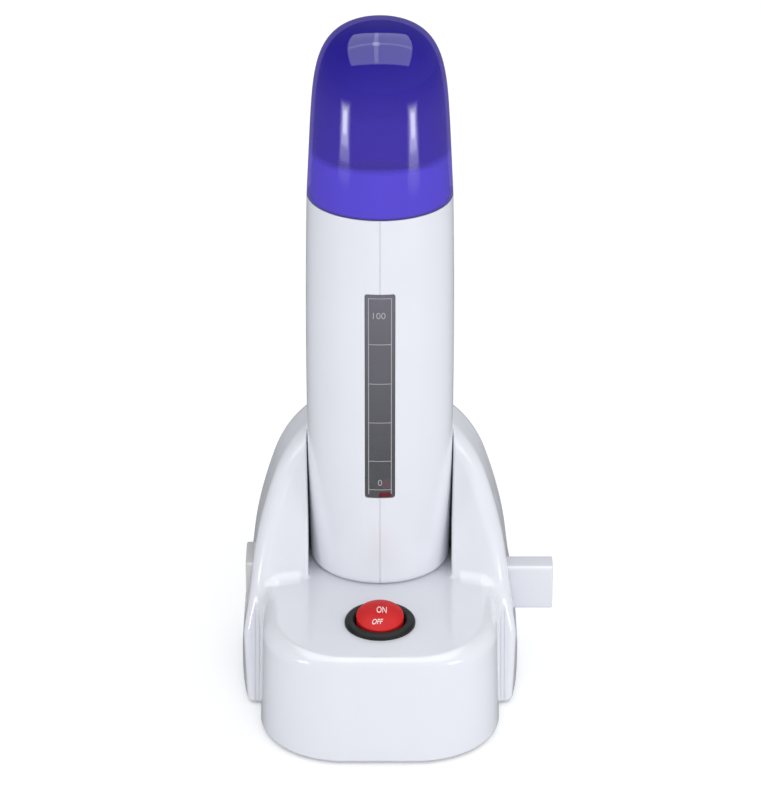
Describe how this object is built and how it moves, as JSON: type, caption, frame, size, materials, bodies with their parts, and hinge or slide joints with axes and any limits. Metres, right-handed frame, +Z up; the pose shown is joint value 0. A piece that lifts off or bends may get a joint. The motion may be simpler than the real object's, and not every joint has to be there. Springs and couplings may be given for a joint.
{
  "type": "roll on wax heater",
  "caption": "Handheld roll-on wax cartridge heater with level window and translucent lid, docked in a mains base with rocker switch, side inlet and side outlet.",
  "frame": {"origin": "on the floor under the middle of the base, where its plane of symmetry meets the centre line of its underside", "axes": "+Z up along the handheld, -Y towards the front with the switch, +X towards the side outlet"},
  "size_m": [0.1243, 0.1156, 0.2755],
  "materials": {
    "white_abs": "glossy moulded white",
    "white_abs_matt": "lightly textured white",
    "warm_white": "satin warm white",
    "lid_blue": "translucent blue, glossy",
    "window_lens": "clear, slightly smoky",
    "chamber_aluminium": "drawn",
    "ceramic": "fired ceramic",
    "steel": "zinc plated",
    "contact_brass": "bright",
    "circuit_board": "solder mask",
    "led_red": "translucent red",
    "dark_insulator": "moulded black",
    "switch_black": "fine spark texture",
    "rocker_red": "glossy red",
    "feet_rubber": "matt",
    "wire_brown": "insulation",
    "wire_blue": "insulation"
  },
  "bodies": {
    "base": {"base_cover": "white_abs", "base_plate": "white_abs_matt", "rubber_feet": "feet_rubber", "base_screws": "steel", "switch_body": "switch_black", "switch_terminals": "contact_brass", "dock_connector": "dark_insulator", "dock_contacts": "contact_brass", "outlet_housing": "white_abs", "outlet_contacts": "contact_brass", "inlet_housing": "warm_white", "inlet_pins": "contact_brass", "live_wires": "wire_brown", "neutral_wires": "wire_blue"},
    "handheld": {"shell_left": "white_abs", "shell_right": "white_abs", "level_window": "window_lens", "heating_chamber": "chamber_aluminium", "ptc_heater": "ceramic", "heater_clamp": "steel", "thermostat": "ceramic", "thermal_fuse": "steel", "indicator_board": "circuit_board", "indicator_led": "led_red", "handheld_inlet": "dark_insulator", "handheld_pins": "contact_brass", "heater_leads": "wire_brown", "led_leads": "wire_blue", "shell_screws": "steel"},
    "lid": {"lid": "lid_blue"},
    "rocker": {"rocker": "rocker_red", "rocker_plunger": "steel", "rocker_spring": "steel"},
    "contact": {"contact_blade": "contact_brass"}
  },
  "joints": [
    {"name": "handheld_lift", "type": "slide", "parent": "base", "child": "handheld", "axis": [0, 0, 1], "range_m": [0, 0.08]},
    {"name": "lid_lift", "type": "slide", "parent": "handheld", "child": "lid", "axis": [0, 0, 1], "range_m": [0, 0.05]},
    {"name": "rocker_press", "type": "hinge", "parent": "base", "child": "rocker", "pos_m": [0, -0.0253, 0.0465], "axis": [-1, 0, 0], "range_deg": [0, 22]},
    {"name": "contact_tip", "type": "hinge", "parent": "base", "child": "contact", "pos_m": [0, -0.0253, 0.0363], "axis": [1, 0, 0], "range_deg": [0, 16]}
  ],
  "couplings": [
    {"joint": "contact_tip", "follows": "rocker_press", "ratio": 0.72727}
  ]
}
